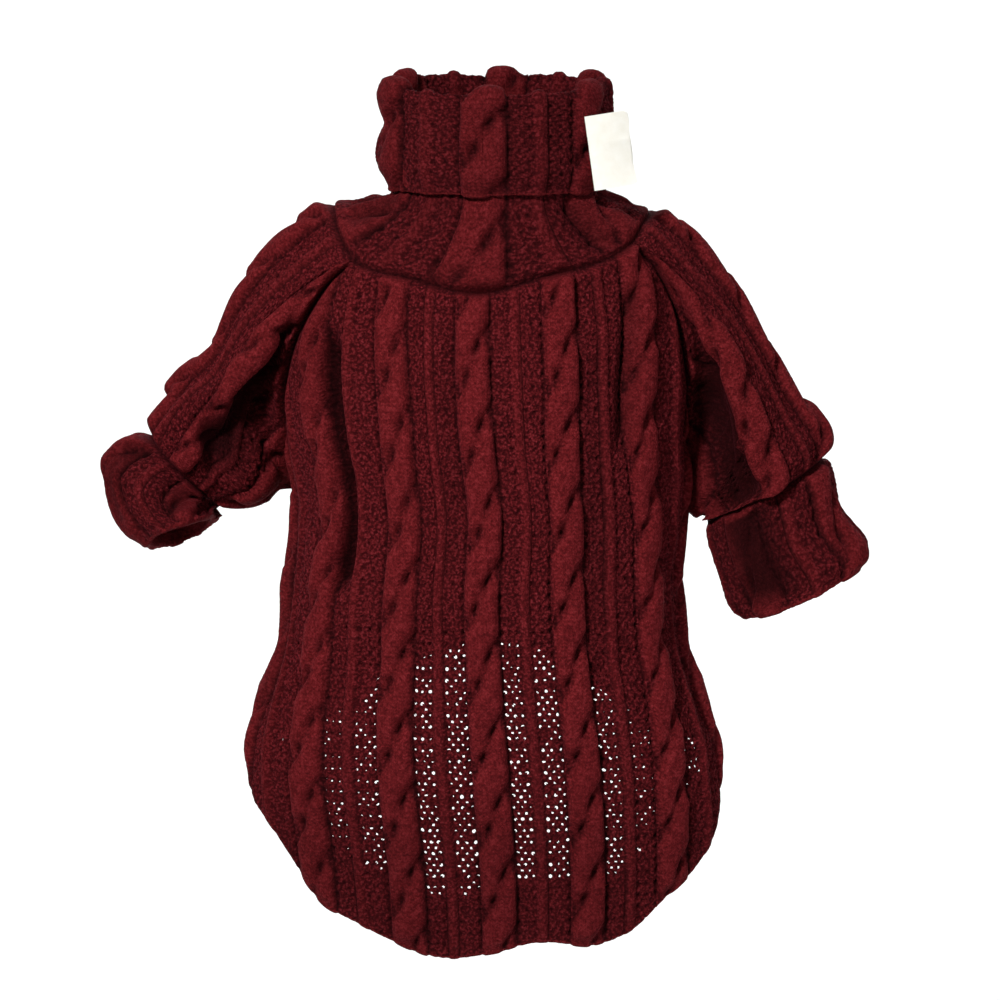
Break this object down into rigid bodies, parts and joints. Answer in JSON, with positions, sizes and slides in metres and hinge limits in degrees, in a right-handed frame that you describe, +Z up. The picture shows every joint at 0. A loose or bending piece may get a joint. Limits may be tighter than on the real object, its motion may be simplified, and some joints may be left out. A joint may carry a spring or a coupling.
{
  "type": "dog sweater",
  "caption": "Hollow cable-knit turtleneck sweater for a small dog, filled out, with raglan sleeves, cuffs and a long rounded tail.",
  "frame": {"origin": "centre of the neck seam, where the wearer's neck holds the sweater up", "axes": "+X to the right of someone who looks at the back panel, +Y from the back panel towards the belly panel, +Z up, from the tail's hem to the collar"},
  "size_m": [0.29, 0.0984, 0.3292],
  "materials": {
    "knit": "burgundy cable knit, matt and slightly fuzzy",
    "tape": "cream woven tape, matt"
  },
  "bodies": {
    "root": {"back_panel": "knit", "belly_panel": "knit", "sleeve_left": "knit", "sleeve_right": "knit", "cuff_left": "knit", "cuff_right": "knit", "collar": "knit", "label": "tape"}
  },
  "joints": []
}
